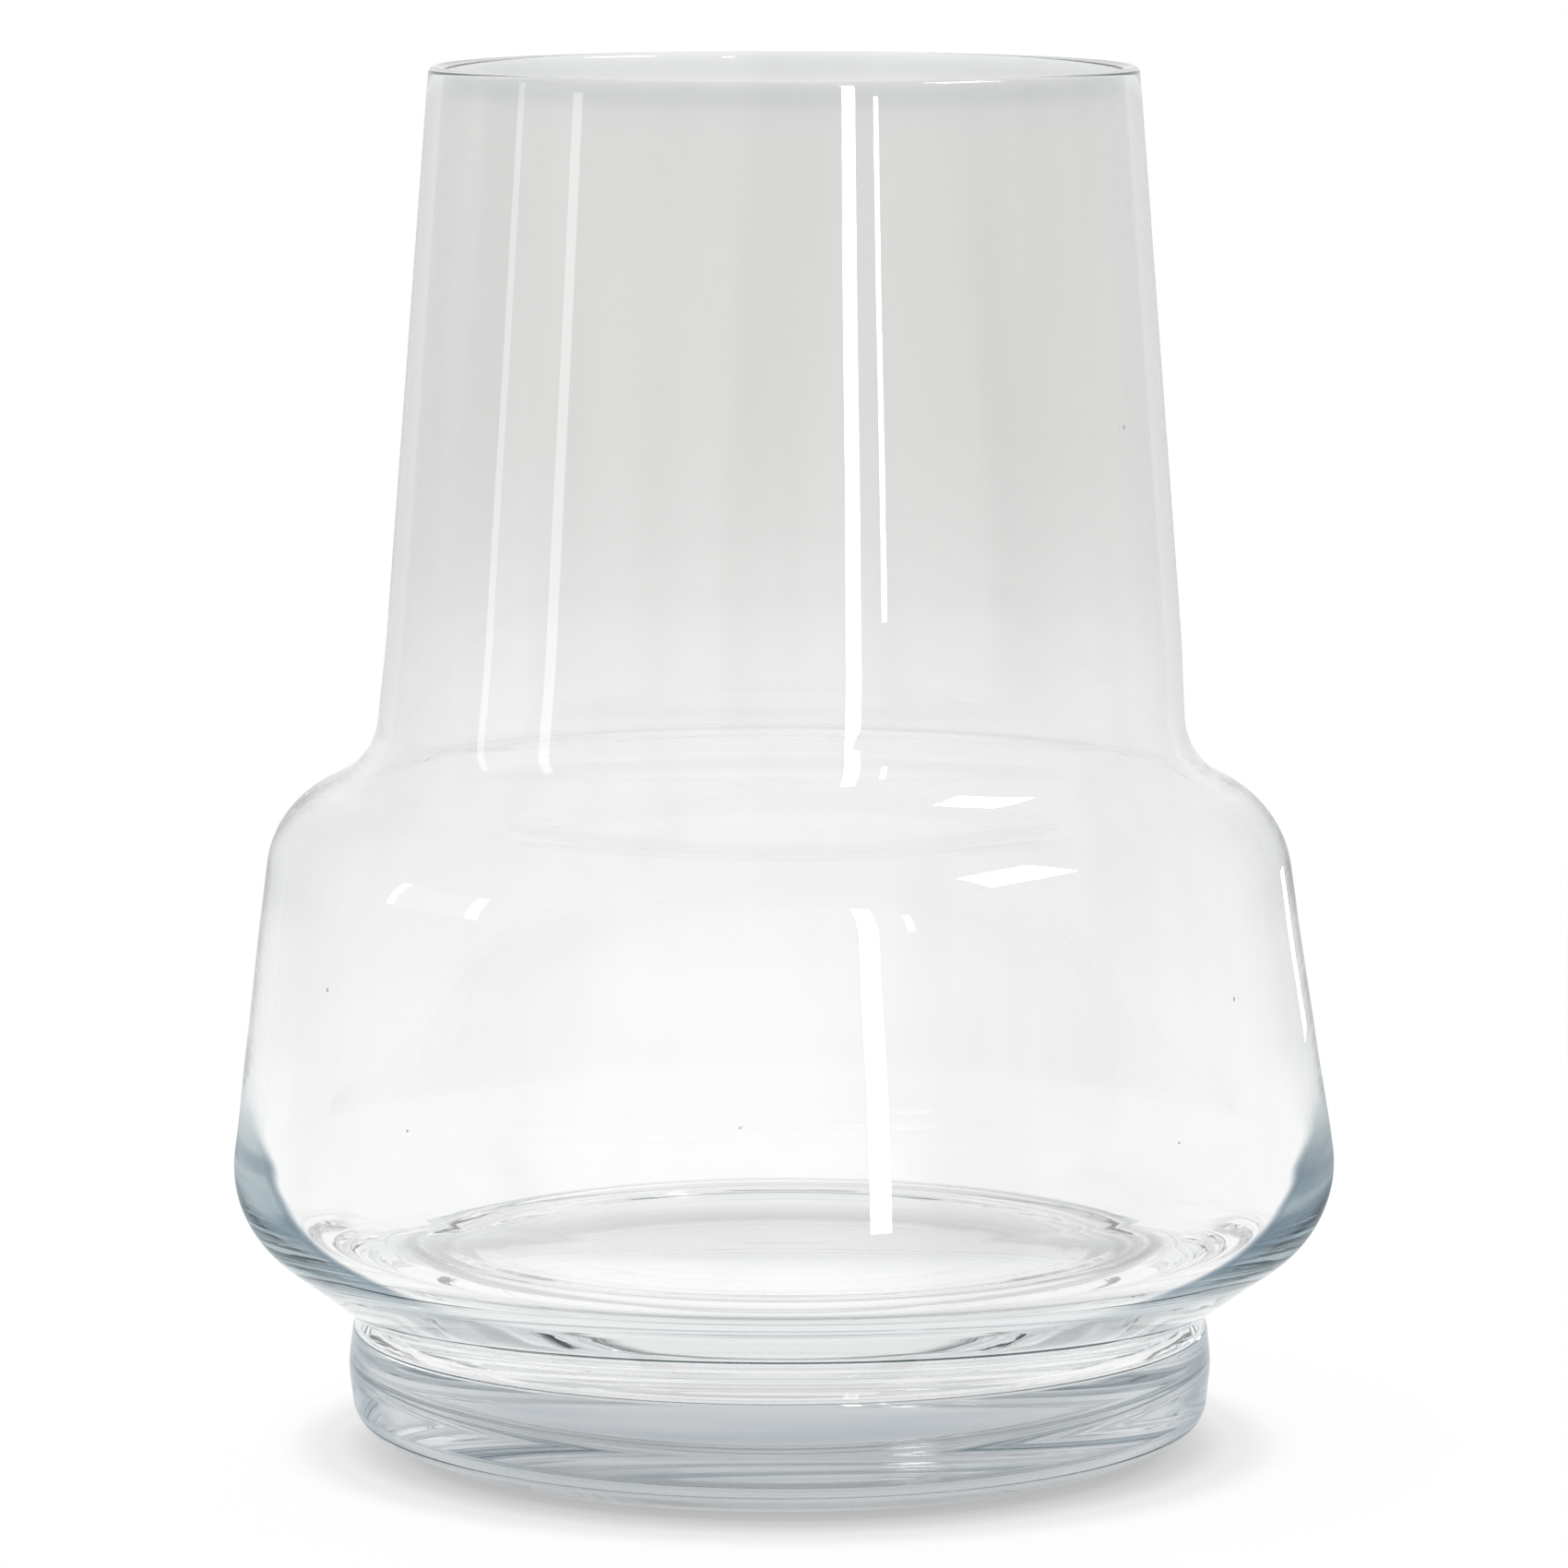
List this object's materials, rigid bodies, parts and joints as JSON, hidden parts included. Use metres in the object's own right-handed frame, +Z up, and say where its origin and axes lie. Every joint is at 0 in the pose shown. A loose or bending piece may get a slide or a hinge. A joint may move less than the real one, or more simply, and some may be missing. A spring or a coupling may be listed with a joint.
{
  "type": "glass vase",
  "caption": "Clear blown glass vase with a tapered neck, sloped shoulder, full belly and a solid glass foot, for holding cut flowers in water.",
  "frame": {"origin": "middle of the foot's resting face, on the table", "axes": "+Z up along the axis that the vase is turned about, towards the mouth; X and Y are level, and the vase is round, so no side is the front"},
  "size_m": [0.2, 0.2, 0.2506],
  "materials": {
    "vessel_glass": "fire polished clear glass, nearly colourless, pale blue grey where it is thick",
    "foot_glass": "smooth solid clear glass, pale blue grey through its thickness"
  },
  "bodies": {
    "root": {"vessel": "vessel_glass", "foot": "foot_glass"}
  },
  "joints": []
}
